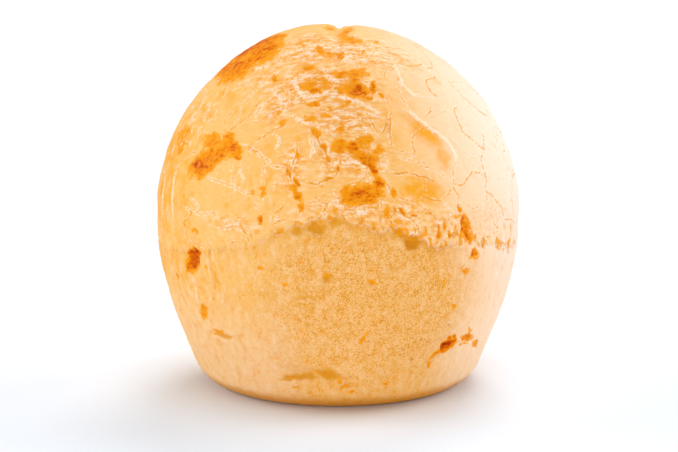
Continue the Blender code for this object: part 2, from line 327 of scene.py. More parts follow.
rumpled = {
    # where the skin is torn small, in level strands
    "spots": (
        (-92, 57.5, 28, 9, 0, 0.9), (-97, 53, 20, 10, 0, 1), (-88, 48.5, 13, 9, 0, 0.9),
        (-84, 43, 13, 8, 0, 0.9), (-92, 43, 7, 9, 0, 0.8), (-84, 35.5, 10, 6, 0, 0.9),
        (-105, 41, 5, 10, 0, 0.7), (-97, 34.5, 10, 3, 0, 0.5), (-70, 34, 9, 6, 0, 0.65),
        (-56, 31.5, 10, 6, 0, 0.55), (-35, 30, 12, 8, 0, 0.3), (-116, 50, 7, 8, 0, 0.7),
        (-124, 31.5, 12, 4, 0, 0.5), (-20, 28, 9, 8, 0, 0.15), (-130, 53, 14, 7, 0, 0.5),
        (-115, 58.6, 14, 8, 0, 0.8), (-62, 58.4, 10, 7, 0, 0.5), (80, 55, 16, 8, 0, 0.9),
        (112, 46, 9, 14, 0, 0.9), (60, 33, 16, 6, 0, 0.8), (20, 31, 14, 6, 0, 0.7),
        (150, 31, 12, 5, 0, 0.7), (95, 38, 9, 6, 0, 0.6),
    ),
}
wrinkled = {
    # where the skin is drawn up in fine upright wrinkles
    "spots": (
        (-158, 45, 15, 18, 0, 1), (-160, 32, 9, 18, 0, 0.8), (-124, 38, 9, 12, 0, 0.7),
        (-114, 36.5, 8, 12, 0, 0.7), (-140, 22, 20, 16, 0, 0.6), (-10, 40, 16, 22, 0, 0.65),
        (-20, 20, 16, 30, 0, 0.8), (150, 44, 14, 14, 0, 0.8), (35, 40, 12, 12, 0, 0.6),
    ),
}
sandy = {
    # where the crumb shows its grain
    "spots": (
        (-82, 19, 30, 32, 0, 1), (-62, 18, 18, 28, 0, 0.9), (-104, 10, 12, 14, 0, 0.5),
        (-100, 26, 10, 8, 0, 0.7), (-50, 22, 12, 14, 0, 0.5), (40, 18, 40, 26, 0, 0.8),
        (110, 18, 30, 30, 0, 1),
    ),
}
calm = {
    # broad smooth plates, where few cracks start
    "spots": (
        (-48, 46, 20, 20, 0, 1), (-62, 38, 11, 6, 0, 1), (-133, 39, 24, 18, 0, 1), (-128, 50, 15, 7, 0, 1),
        (-122, 36, 16, 10, 0, 1), (20, 47, 18, 14, 0, 1), (150, 50, 13, 9, 0, 1), (-20, 46, 22, 22, 0, 1),
    ),
}
tornEdge = {
    # angle, height in mm of the skin's torn edge, how far up its fringe reaches in mm, and how sharp it is
    "round": (
        (-180, 24.6, 0.4, 0.1), (-162, 23.9, 0.3, 0.05), (-149, 25, 0.3, 0.05), (-138, 26, 0.3, 0.05),
        (-129, 27.1, 0.4, 0.1), (-121, 28.1, 0.6, 0.3), (-114, 29.6, 0.6, 0.3), (-110, 30.8, 0.8, 0.6),
        (-105, 31.9, 0.8, 0.6), (-103, 32.5, 0.9, 0.7), (-101, 31.9, 0.9, 0.7), (-100, 32.9, 0.9, 0.7),
        (-98, 33.2, 0.9, 0.7), (-96, 33.6, 0.9, 0.7), (-92, 33.5, 1.6, 0.6), (-91, 34, 1.6, 0.6),
        (-89, 34.3, 1.6, 0.6), (-88, 33.4, 1.6, 0.6), (-86, 32.7, 1.6, 0.6), (-83, 33, 1.6, 0.6),
        (-80, 32.3, 1.9, 0.8), (-77, 31.3, 1.9, 0.8), (-74, 31.7, 1.9, 0.8), (-71, 31.6, 1.9, 0.8),
        (-68, 29.9, 1.6, 0.8), (-67, 30.2, 1.6, 0.8), (-65, 30.3, 1.6, 0.8), (-62, 29.3, 2.8, 1),
        (-61, 28.1, 2.8, 1), (-57, 28.1, 2.8, 1), (-53, 28.2, 2.8, 1), (-49, 28.1, 2.8, 1),
        (-46, 28.1, 2.2, 0.6), (-43, 27.1, 2.2, 0.6), (-38, 26.7, 2.2, 0.6), (-32, 25.9, 2.2, 0.6),
        (-25, 24.7, 1.6, 0.35), (-16, 23.7, 1.6, 0.35), (0, 25, 1.4, 0.4), (14, 28, 1.4, 0.4),
        (28, 26, 1, 0.3), (42, 29.5, 1.2, 0.5), (58, 26.5, 1.6, 0.6), (72, 29, 1.8, 0.5), (86, 25, 2, 0.6),
        (100, 28.5, 1.6, 0.4), (114, 25.5, 1, 0.3), (128, 29, 0.9, 0.3), (142, 26, 0.7, 0.2),
        (160, 27.5, 0.5, 0.1), (180, 24.6, 0.4, 0.1),
    ),
}
strewn = {
    # how the clusters on the sides and back are drawn: compass angles, heights as shares of "tall" in mm, how
    # much smaller a cluster may be, marks in each, how far apart they lie, and what each mark may vary by
    "angles": (8, 172), "heights": (0.10, 0.84), "tall": 60,
    "smaller": 0.5, "clusters": (1, 2, 3), "apart": (0.7, 0.35),
    "width": (0.6, 1.3), "tallness": (0.35, 0.9), "leans": (-40, 40), "amount": (0.8, 1.1),
}
raggedness = {
    "reach": 0.55 * mm, "grain": 1.0 * mm,     # how far the outline of a mark strays, and how finely
    "edgeReach": 0.9, "edgeGrain": 2.2 * mm,   # the same for the torn edge, whose reach is in mm
    "depth": 8 * mm, "farOff": 9.0,            # a point deeper in than this counts as so many sizes away
    "seed": 5,                                 # gives the marks the same outlines each time
}
shadedBy = {
    # the side painted pale as a painted highlight, which ends at the far side, and the side painted golden as
    # painted shade: direction, where it starts and is full
    "paintedHighlight": ((0.94, 0.15, 0.31), 0.32, 0.96),
    "farSide": ((0, 1, 0), 0.05, 0.65),
    "farLoss": 0.75,          # how much of the paleness the far side loses
    "paintedLeftShade": ((-0.96, -0.2, 0.1), 0.80, 1.0, 0.5),
}


def farSpots(marks):
    # clusters of marks on the sides and back, from a fixed seed
    dice = random.Random(marks["seed"])
    spots = []
    while len(spots) < marks["far"]:
        angle, height = dice.uniform(*strewn["angles"]), strewn["tall"] * dice.uniform(*strewn["heights"])
        size = dice.uniform(*marks["farSizes"]) * dice.uniform(strewn["smaller"], 1)
        amount = dice.uniform(*marks["farAmounts"])
        across, up = strewn["apart"]
        for _ in range(dice.choice(strewn["clusters"])):
            spots.append((angle + dice.gauss(0, across) * size, height + dice.gauss(0, up) * size,
                          size * dice.uniform(*strewn["width"]), size * dice.uniform(*strewn["tallness"]),
                          dice.uniform(*strewn["leans"]), amount * dice.uniform(*strewn["amount"])))
    return tuple(spots)


def readPoints(piece):
    points = np.empty(len(piece.data.vertices) * 3, np.float32)
    piece.data.vertices.foreach_get("co", points)
    return points.reshape(-1, 3)


def paint(piece, name, values):
    layer = piece.data.attributes.new(name, "FLOAT", "POINT")
    layer.data.foreach_set("value", np.ascontiguousarray(values, np.float32))


def reachOf(points, spot):
    # 0 at the middle of an oval mark, 1 at its rim, and far off for a point deeper in than marks reach
    angle, height, width, tallness, lean = spot[:5]
    middle, outward = onBall(angle, height)
    up = (Vector((0, 0, 1)) - outward * outward.z).normalized()
    across = up.cross(outward).normalized()
    turn = Matrix.Rotation(math.radians(lean), 3, outward)
    across, up = turn @ across, turn @ up
    offsets = points - np.array(middle)
    depth = offsets @ np.array(outward)
    sideways, upwards = offsets @ np.array(across), offsets @ np.array(up)
    reach = np.hypot(sideways / (width / 2 * mm), upwards / (tallness / 2 * mm))
    return np.where(np.abs(depth) < raggedness["depth"], reach, raggedness["farOff"])


def softField(points, spots, spread=1.3, squareness=2, softness=1.5):
    field = np.zeros(len(points))
    for spot in spots:
        reach = np.minimum(reachOf(points, spot) / spread, 1)
        field = np.maximum(field, spot[5] * (1 - reach ** squareness) ** softness)
    return field


def towards(points, direction, start, full):
    # 0 to 1 by how far each point lies on one side of the ball
    offsets = points - np.array((0, 0, ballHeight / 2))
    share = offsets @ np.array(direction) / np.linalg.norm(offsets, axis=1) / np.linalg.norm(direction)
    return np.clip((share - start) / (full - start), 0, 1)


def markPiece(piece):
    points = readPoints(piece)
    noise.seed_set(raggedness["seed"])
    grain = 1 / raggedness["grain"]
    sway = np.array([noise.noise_vector(Vector(point) * grain) for point in points.tolist()])
    ragged = points + sway * raggedness["reach"]
    angles, heights, fringes, sharps = zip(*tornEdge["round"])
    compass = np.degrees(np.arctan2(points[:, 1], points[:, 0]))
    # painted shade: the left side is painted a deeper gold
    direction, start, full, most = shadedBy["paintedLeftShade"]
    paintedLeftShade = most * towards(ragged, direction, start, full)
    farSide = towards(points, *shadedBy["farSide"])
    fields = {
        "toast": softField(ragged, browned["spots"] + farSpots(browned), *browned["shape"]),
        "hollow": softField(ragged, pitted["spots"] + farSpots(pitted), *pitted["shape"]),
        "folds": softField(points, rumpled["spots"]),
        "wrinkles": softField(points, wrinkled["spots"]),
        # deeper gold: the crust's own tone and painted shade beside the ridges, with the left side's painted
        # shade
        "warm": np.maximum(softField(ragged, warmed["spots"] + farSpots(warmed)), paintedLeftShade),
        # the painted highlight: paler towards the right and the top, and less so at the back
        "paintedHighlight": towards(points, *shadedBy["paintedHighlight"]) * (1 - shadedBy["farLoss"] * farSide),
        "sandy": softField(points, sandy["spots"]),
        "aboveTear": points[:, 2] / mm - np.interp(compass, angles, heights),
        "fringe": np.interp(compass, angles, fringes),
        "sharp": np.interp(compass, angles, sharps),
    }
    for name, values in fields.items():
        paint(piece, name, values)


# Cracks in the skin: the long ones are led through chosen places, and the rest grow between them

cracks = {
    # each is how far it gapes, how high its lips stand, and the (angle, height in mm) that it runs through
    "led": (
        (1, 0.9, (-68, 51.4), (-68, 50.4), (-68.5, 49.6)),
        (1, 0.8, (-67.5, 49.4), (-69.5, 48.1), (-70.5, 46.6), (-70.5, 45.5), (-71, 44.2)),
        (0.9, 0.7, (-70.5, 48.5), (-71.5, 47.1), (-73.5, 45.8), (-74.5, 45.3)),
        (0.8, 0.5, (-78.5, 49.2), (-77, 47.9), (-75.5, 46.7), (-74, 45.7)),
        (0.1, 1.2, (-53.5, 55.5), (-56, 54.2), (-57.5, 52.7), (-55.5, 51.7), (-53, 50.9), (-49.5, 50.6)),
        (0.7, 0.5, (-56.5, 54.6), (-58, 53.4), (-61, 52.9), (-59.5, 52.3)),
        (0.6, 0.5, (-61, 55.2), (-64, 54.5), (-65.5, 53.6)),
        (0, 1.4, (-62, 49.4), (-59, 48.6), (-56.5, 47.5), (-53.5, 46.3), (-50, 45), (-47.5, 43.5),
         (-46.5, 41.7), (-47, 40.4)),
        (0.8, 0.8, (-25.5, 52.2), (-26, 51.3), (-25, 50.5), (-24, 49.5), (-22.5, 48.5), (-19, 46.8),
         (-12.5, 45.3)), (0.1, 0.8, (-32, 55.4), (-33, 54), (-32.5, 52.7), (-30.5, 51.5)),
        (0.3, 0.8, (-49, 50.6), (-44.5, 50.5), (-41.5, 50.3)),
        (0.9, 0.6, (-48.5, 49.7), (-49.5, 48.7), (-53.5, 47.7)),
        (0.6, 0.7, (-27, 44.8), (-27, 43.1), (-30, 41.6), (-34, 40.3), (-34, 38.4), (-34, 37.1),
         (-36, 35.7), (-36, 34), (-36, 32.7)),
        (1, 0.5, (-73.5, 40.2), (-69.5, 40.1), (-66.5, 40.3), (-64, 39.9), (-60.5, 39.4), (-58.5, 38.6),
         (-55.5, 38.3)),
        (0.3, 0.5, (-71, 44.2), (-66.5, 43.3), (-62, 42.2), (-58, 40.5), (-53, 39), (-51, 37.4)),
        (0.3, 0.5, (-70, 43.1), (-65, 42), (-61.5, 41.3), (-56, 39.8)),
        (0.6, 0.7, (-49, 40.5), (-50, 38.5), (-50.5, 36.7), (-49.5, 34.6), (-48, 33.4)),
        (0.8, 0.8, (-75.5, 39.8), (-74, 38.7), (-73, 37.5), (-72.5, 36.2)),
        (0.7, 0.6, (-78.5, 34.8), (-77, 33.1), (-76.5, 31.6)),
        (0.7, 0.6, (-77.5, 34.9), (-75.5, 33.2), (-74, 31.9)),
        (0.8, 0.5, (-110, 47.8), (-112, 47), (-115.5, 46.3), (-118, 45.5), (-120, 44.9), (-122.5, 43.8)),
        (0.6, 0.5, (-124, 43.6), (-121, 43), (-119.5, 42.2)),
        (0.9, 1, (-105, 44.8), (-104.5, 43.1), (-105, 41.9), (-106, 40.8), (-105.5, 39.6), (-104, 38.3)),
        (0.9, 1, (-100.5, 46.8), (-98, 46.8), (-97.5, 45.7), (-96.5, 44.7), (-94.5, 43.7),
         (-93.5, 42.8), (-92.5, 42.1)), (0.1, 0.8, (-92.5, 44.3), (-91.5, 43.1), (-90.5, 42.1)),
        (0.8, 0.5, (-105.5, 36), (-108, 34.8), (-109.5, 34.1), (-110.5, 33.3)),
        (0.8, 0.5, (-110.5, 32.3), (-108.5, 32.9), (-105.5, 33)),
        (0.9, 0.5, (-90, 41), (-90.5, 40.1), (-92.5, 39.7), (-94.5, 39.4), (-97, 38.7), (-99.5, 39),
         (-101.5, 39.1)), (0.5, 0.5, (-90.5, 37.9), (-93, 37.5), (-95, 37.1), (-98, 36.7)),
        (0.5, 0.5, (-93, 36.6), (-96.5, 36.3), (-98.5, 36)),
        (0.1, 0.8, (-129.5, 54.2), (-126, 54.3), (-123.5, 54.8)),
        (0.4, 1, (-123.5, 52.5), (-119.5, 51.7), (-116.5, 51), (-115, 50.1), (-113.5, 49)),
        (0.4, 0.6, (-116.5, 53), (-113, 51.6), (-112, 50.3), (-110, 49.2)),
        (0.1, 1, (-115, 53.6), (-110.5, 52.6), (-107.5, 51.9), (-104.5, 51.3), (-102.5, 50.9)),
        (0.6, 0.5, (-105, 48), (-106, 47.2), (-106, 46.6)),
        (0.1, 0.9, (-110.5, 49.1), (-107, 48.6), (-104.5, 48), (-101.5, 47.7), (-99, 47.1)),
        (0, 0.8, (-166, 51.6), (-157.5, 52.1), (-154.5, 52.8), (-149.5, 53.6), (-144, 54.3),
         (-138, 54.6), (-136.5, 55.2), (-138, 56)),
        (0.3, 0.5, (-153.5, 45.4), (-157.5, 47.2), (-161.5, 49), (-170, 50.7)),
        (0.4, 0.5, (-144, 45.5), (-144.5, 47), (-146.5, 48.1)),
        (0.3, 0.5, (-149, 45.4), (-151, 46.9), (-153.5, 48.6)),
        (0.3, 0.5, (-158, 44.5), (-159.5, 46), (-163.5, 47.6)),
        (0, 0.9, (-155, 38.3), (-155, 35.7), (-154.5, 33.1), (-153, 30.8), (-151.5, 29.1)),
        (0.2, 0.6, (-165.5, 37), (-164, 34.5), (-162.5, 32), (-162.5, 29.6)),
        (0.3, 0.5, (-116.5, 42), (-115.5, 39.9), (-114.5, 38.4)),
        (0.4, 0.5, (-114.5, 36.4), (-114.5, 35), (-114.5, 33.8)),
        (0.2, 0.5, (-118.5, 37), (-117, 35.5), (-115.5, 34)), (0.3, 0.5, (-127.5, 41.5), (-126.5, 39.4)),
        (0.3, 0.5, (-123.5, 41.4), (-123, 39.3)),
        (0.4, 0.5, (-130.5, 30.4), (-126.5, 30.8), (-123, 31.4), (-120, 31.6), (-116.5, 31.6)),
        (0.5, 0.5, (-124, 32.5), (-121.5, 32.8), (-118.5, 32.9)),
        (0.2, 0.9, (-91, 51.9), (-88, 51.4), (-84, 51.1), (-80, 50.6), (-77, 50), (-74.5, 49.2),
         (-72.5, 48.3)), (0.1, 0.8, (-81, 48), (-80, 46.8), (-78.5, 45.6)),
        (0.1, 1.2, (-92.5, 58.3), (-87.5, 58), (-83.5, 57.6)),
        (0.1, 0.7, (-95, 53.8), (-90, 53.8), (-83.5, 54.1)),
        (0.2, 0.9, (-90, 38.3), (-90, 36.5), (-89.5, 34.5)), (0.2, 0.7, (-88, 35.7), (-88, 34)),
        (0.2, 0.7, (-80.5, 35.8), (-81, 34.2)), (0.3, 0.8, (-102.5, 35.4), (-101.5, 34), (-102.5, 32.5)),
        (0.2, 0.7, (-100.5, 33.6), (-100.5, 31.9), (-99.5, 30.3)),
        (0.4, 0.5, (-63, 52.8), (-61, 52.1), (-60.5, 51.1), (-60.5, 50), (-60.5, 49)),
        (0.2, 0.5, (-73.5, 42.6), (-74.5, 40.8), (-75, 39.9)),
        (0.3, 0.5, (-31.5, 37.5), (-26.5, 36.6), (-21, 35.3)), (0.7, 0.5, (-41.5, 31.1), (-41.5, 29.1)),
        (0.6, 0.5, (-37, 30.7), (-34, 28.5)), (0.6, 0.6, (-36, 32.3), (-33, 30.4), (-29, 28.3)),
        (0.6, 0.5, (-24.5, 29), (-26.5, 27)), (0.8, 0.5, (-22, 26.4), (-20, 24.4)),
        (0.6, 0.5, (-32, 27.4), (-29, 25.6)), (0.5, 0.5, (-61.5, 28.8), (-59.5, 28.1), (-55.5, 27.9)),
        (0.2, 0.8, (-70, 29.7), (-68, 30.6), (-65.5, 30.8), (-62.5, 29.7)),
        (0.6, 0.5, (-51, 33.1), (-50.5, 31.3), (-49, 29.2)), (0.6, 0.5, (-59.5, 32.2), (-58.5, 30.8)),
        (0.4, 0.5, (-134.5, 28.9), (-134, 27)), (0.5, 0.5, (-126.5, 27.7), (-123, 28.9), (-120.5, 28.7)),
        (0.3, 0.5, (-114.5, 56.9), (-107, 56.7), (-98.5, 56.3)),
        (0.4, 0.5, (-131, 57.4), (-122.5, 57.5), (-111, 57.4)),
        (0.3, 0.5, (-122.5, 55.8), (-115, 56.1), (-103, 56)),
        (0.3, 0.5, (-113, 54.2), (-106.5, 54.4), (-98.5, 54.2)),
        (0.4, 0.6, (-106, 51.7), (-102, 51.6), (-95.5, 51.8)),
        (0.6, 0.9, (-126, 43.7), (-121, 43.6), (-115, 42), (-112, 41.1), (-108, 41.2), (-105.5, 41)),
        (0.2, 0.9, (-100, 46.5), (-98.5, 43.9), (-99, 41.9)),
        (0.2, 0.9, (-114.5, 46.1), (-111.5, 45.1), (-111, 42.9)),
        (0.5, 0.7, (-101.5, 35.9), (-94, 36), (-89.5, 36)),
        (0.1, 1.2, (-86.5, 42.8), (-82.5, 42), (-79, 40.8)),
        (0.5, 0.7, (-139, 38.3), (-130.5, 37.9), (-122.5, 37.1), (-116, 36.4)),
        (0.4, 0.7, (-144, 34.7), (-139, 33.5), (-136, 31.2)),
        (0.4, 0.7, (-148.5, 32.7), (-141.5, 32.3), (-135, 32.5), (-129.5, 33.3)),
        (0.3, 0.8, (-121, 51.2), (-124, 50), (-124.5, 48.2), (-124, 46.5)),
        (0.3, 0.8, (-102, 56.1), (-97, 54.9), (-94, 53.3), (-91, 51.9)),
        (0.4, 0.5, (-101, 49.5), (-96.5, 49.7), (-91.5, 49.4)),
        (0.4, 0.5, (-98, 47.7), (-94.5, 48), (-91, 48.3)),
        (0.3, 0.6, (-90, 56.4), (-85.5, 56.1), (-81.5, 55.6)), (0.3, 0.5, (-80.5, 56.4), (-81.5, 55.1)),
        (0.3, 0.5, (-68, 55), (-69.5, 53.7)), (0.4, 0.5, (-89.5, 49.4), (-89.5, 48.6), (-88.5, 48)),
        (0.3, 0.5, (-84.5, 49.4), (-82, 48.3), (-81, 46.8)),
        (0.3, 0.5, (-20.5, 59.4), (-17.5, 58.9), (-11.5, 58.4)),
        (0.3, 0.5, (-47, 58.7), (-40.5, 58.1), (-28.5, 57.6)),
        (0.2, 0.5, (-52.5, 57.1), (-41, 56.8), (-33.5, 56.2)),
        (0.4, 0.5, (-33.5, 57.2), (-33.5, 56.6), (-30, 56.2)),
        (0.8, 0.8, (60, 56), (48, 50), (52, 42), (44, 34)),
        (0.9, 0.9, (120, 57), (108, 51), (112, 43), (104, 33)), (0.8, 0.8, (165, 56), (158, 48), (163, 40)),
        (0.1, 0.5, (30, 56), (24, 50), (13, 46), (10, 41), (2, 38)),
        (0.1, 0.5, (140, 54), (150, 48), (146, 43), (140, 40), (150, 34)),
        (0.7, 0.6, (80, 50), (90, 46), (84, 40), (90, 33)), (0.6, 0.6, (10, 57), (4, 50), (-4, 44)),
        (0.7, 0.7, (60, 44), (72, 42), (84, 44), (96, 42)),
    ),
    "seed": 11,
    "stride": 0.35 * mm,          # length of one step of a crack
    "wander": 0.22,               # how much the heading strays at each step, in radians
    "aim": 0.35,                  # and at the start, where it points at the nearest crack
    "tries": 3400,
    "starts": (26, 59.3),         # heights in mm between which cracks start
    "gap": 1.8 * mm,              # a new crack starts about this far from the others:
    "crowding": (0.75, 1.1),      # at least the first share of it, and at first up to the second more
    "avoid": 1.5,                 # how strongly cracks keep off the smooth plates
    "skip": 0.6,                  # share of the starts that come to nothing
    "steps": (6, 40),             # fewest and most each way
    "meets": 1.3,                 # a crack ends on another that is this many strides off
    "lowest": 22 * mm,
    "gapes": (0.2, 0.4, 0.6),
    "lips": (0.15, 0.35),         # the least, and how much more by chance
    "taper": (0.15, 6),           # strength at a loose end, and the steps that bring it to full strength
}


def ledCrack(places, dice):
    corners = [onBall(angle, height)[0] for angle, height in places]
    path = [corners[0]]
    for target in corners[1:]:
        while (target - path[-1]).length > cracks["stride"]:
            heading = (target - path[-1]).normalized()
            outward = surface.find_nearest(path[-1])[1]
            heading.rotate(Matrix.Rotation(dice.gauss(0, cracks["wander"]), 3, outward))
            path.append(surface.find_nearest(path[-1] + heading * cracks["stride"])[0])
    return path


def grownArm(start, heading, taken, steps, dice):
    path = [start]
    for _ in range(steps):
        outward = surface.find_nearest(path[-1])[1]
        heading.rotate(Matrix.Rotation(dice.gauss(0, cracks["wander"]), 3, outward))
        heading = (heading - outward * heading.dot(outward)).normalized()
        path.append(surface.find_nearest(path[-1] + heading * cracks["stride"])[0])
        gaps = ((taken - np.array(path[-1])) ** 2).sum(1)
        nearest = int(gaps.argmin())
        if gaps[nearest] < (cracks["stride"] * cracks["meets"]) ** 2:
            return path + [Vector(taken[nearest])], True
        if path[-1].z < cracks["lowest"]:
            return path, True
    return path, False


def tapered(count, full, startsOn=False, endsOn=False):
    # full strength along the middle, fading towards an end that doesn't meet another crack
    loose, steps = cracks["taper"]
    first, last = 1 if startsOn else loose, 1 if endsOn else loose
    return [full * min(1, first + i / steps, last + (count - 1 - i) / steps) for i in range(count)]


def crackLines():
    dice = random.Random(cracks["seed"])
    paths, gapes, lips = [], [], []
    for gape, lip, *places in cracks["led"]:
        path = ledCrack(places, dice)
        paths.append(path)
        gapes += tapered(len(path), gape)
        lips += tapered(len(path), lip)
    taken = np.array([point for path in paths for point in path])
    closest, further = cracks["crowding"]
    leastLip, moreLip = cracks["lips"]
    for attempt in range(cracks["tries"]):
        fresh = 1 - attempt / cracks["tries"]
        start = onBall(dice.uniform(-180, 180), dice.uniform(*cracks["starts"]))[0]
        gaps = ((taken - np.array(start)) ** 2).sum(1)
        if math.sqrt(gaps.min()) < cracks["gap"] * (closest + further * fresh * dice.random()):
            continue
        if dice.random() < cracks["avoid"] * softField(np.array([start]), calm["spots"], 1.0)[0]:
            continue
        if dice.random() < cracks["skip"]:
            continue
        heading = (Vector(taken[int(gaps.argmin())]) - start).normalized()
        outward = surface.find_nearest(start)[1]
        heading.rotate(Matrix.Rotation(dice.gauss(0, cracks["aim"]), 3, outward))
        reach = dice.randint(*cracks["steps"])
        ahead, metAhead = grownArm(start, heading, taken, reach, dice)
        back, metBack = grownArm(start, -heading, taken, reach, dice)
        path = list(reversed(back))[:-1] + ahead
        gapes += tapered(len(path), dice.choice(cracks["gapes"]), metBack, metAhead)
        lips += tapered(len(path), leastLip + moreLip * dice.random(), metBack, metAhead)
        paths.append(path)
        taken = np.concatenate([taken, np.array(path)])
    points, edges = [], []
    for path in paths:
        first = len(points)
        points += path
        edges += [(first + i, first + i + 1) for i in range(len(path) - 1)]
    mesh = bpy.data.meshes.new("crackLines")
    mesh.from_pydata(points, edges, [])
    lines = bpy.data.objects.new("crackLines", mesh)
    bpy.context.scene.collection.objects.link(lines)
    paint(lines, "gape", gapes)
    paint(lines, "lip", lips)
    print("cracks", len(paths), "points", len(points))
    return lines


print("growing the cracks")
lines = crackLines()

# Relief, by Geometry Nodes: the skin's folds, lips and torn fringe, and the crumb's lumps and pores

skinRelief = {
    "swell": 0.45 * mm, "swellSize": 9 * mm,
    "leather": 0.18 * mm, "leatherSize": 2.6 * mm,
    "strand": 0.24 * mm, "strandSize": 0.95 * mm, "strandLength": 0.32,
    "wrinkle": 0.16 * mm, "wrinkleSize": 0.85 * mm, "wrinkleTallness": 0.25,
    "lip": 0.13 * mm, "lipWidth": 0.60 * mm,
    "flare": (0.5, 1.2), "flareSize": 2 * mm,     # the lip's width varies by these shares
    "hollow": 0.7 * mm, "gape": 0.04 * mm, "gapeWidth": 0.36 * mm,
    "tuck": 0.9 * mm,             # how deep the skin goes under the crumb below its torn edge
    "tuckSlope": (3.5, 0.8),      # how gently it goes where the edge is soft and where it is sharp
    "gap": 0.34 * mm, "gapSize": 1.05 * mm, "gapTallness": 0.42,    # between the fibres of the torn fringe
}
crumbRelief = {
    "lump": 0.20 * mm, "lumpSize": 3.2 * mm,
    "grain": 0.17 * mm, "grainSize": 0.8 * mm,
    "pore": 0.20 * mm, "poreSize": 1.5 * mm,
    "poreChance": (0.74, 1.0), "poreWidest": 0.32,    # the cells above the first chance hold a pore
    "smoothest": 0.35,            # share of the grain where the crumb isn't sandy
    "wrinkle": 0.5,               # its wrinkles beside the skin's
    "step": 0.20 * mm,            # how far the crumb lies back at the skin's torn edge
    "softStep": 0.3,              # share of that where the edge is soft
    "underSkin": 0.9 * mm,        # and how much more where the skin covers it
}


def startRelief(name):
    tree = bpy.data.node_groups.new(name, "GeometryNodeTree")
    tree.interface.new_socket("Geometry", in_out="INPUT", socket_type="NodeSocketGeometry")
    tree.interface.new_socket("Geometry", in_out="OUTPUT", socket_type="NodeSocketGeometry")
    return tree, addNode(tree, "NodeGroupInput"), addNode(tree, "GeometryNodeInputPosition")


def painted(tree, name):
    return addNode(tree, "GeometryNodeInputNamedAttribute", {"Name": name}, data_type="FLOAT")


def finishRelief(tree, start, height, stored):
    # stores each named field for the materials, then pushes the surface out by height
    geometry = start.outputs[0]
    for name, (kind, value) in stored.items():
        keep = addNode(tree, "GeometryNodeStoreNamedAttribute",
                       {"Geometry": geometry, "Name": name, "Value": value}, data_type=kind)
        geometry = keep.outputs[0]
    normal = addNode(tree, "GeometryNodeInputNormal")
    push = addNode(tree, "VectorMath", {0: normal, "Scale": height}, operation="SCALE")
    moved = addNode(tree, "GeometryNodeSetPosition", {"Geometry": geometry, "Offset": push})
    addNode(tree, "NodeGroupOutput", {0: moved})


def swellOf(tree, position):
    # broad unevenness that the skin and the crumb share
    half = skinRelief["swell"] / 2
    return evenly(tree, grainOf(tree, position, skinRelief["swellSize"], 2.0, 0.5), -half, half)


def wrinkleOf(tree, position):
    tall = stretched(tree, position, (1, 1, skinRelief["wrinkleTallness"]))
    streak = evenly(tree, grainOf(tree, tall, skinRelief["wrinkleSize"], 3.0, 0.5, 0.4), -1.0, 1.0, 0.3, 0.7)
    return times(tree, streak, painted(tree, "wrinkles"), held=False)


def edgeOf(tree, position):
    # height above the ragged torn edge, in mm
    stray = grainOf(tree, position, raggedness["edgeGrain"], 4.0, 0.65)
    stray = evenly(tree, stray, -raggedness["edgeReach"], raggedness["edgeReach"])
    return addUp(tree, (painted(tree, "aboveTear"), stray))


def gapsOf(tree, position, edge, fringe):
    # 1 in the gaps between the fibres of the torn fringe
    tall = stretched(tree, position, (1, 1, skinRelief["gapTallness"]))
    gaps = between(tree, grainOf(tree, tall, skinRelief["gapSize"], 2.0, 0.6, 0.5), 0.50, 0.59)
    below = between(tree, edge, -0.9, 0.1)
    share = addNode(tree, "Math", {0: edge, 1: fringe}, operation="DIVIDE")
    return times(tree, times(tree, gaps, below), between(tree, share, 1.1, 0.5))


def cutInto(tree, position, edge):
    # heights of the fringe's gaps and of the hollows, which the skin and the crumb share
    gaps = gapsOf(tree, position, edge, painted(tree, "fringe"))
    return (times(tree, gaps, -skinRelief["gap"], held=False),
            times(tree, painted(tree, "hollow"), -skinRelief["hollow"], held=False))


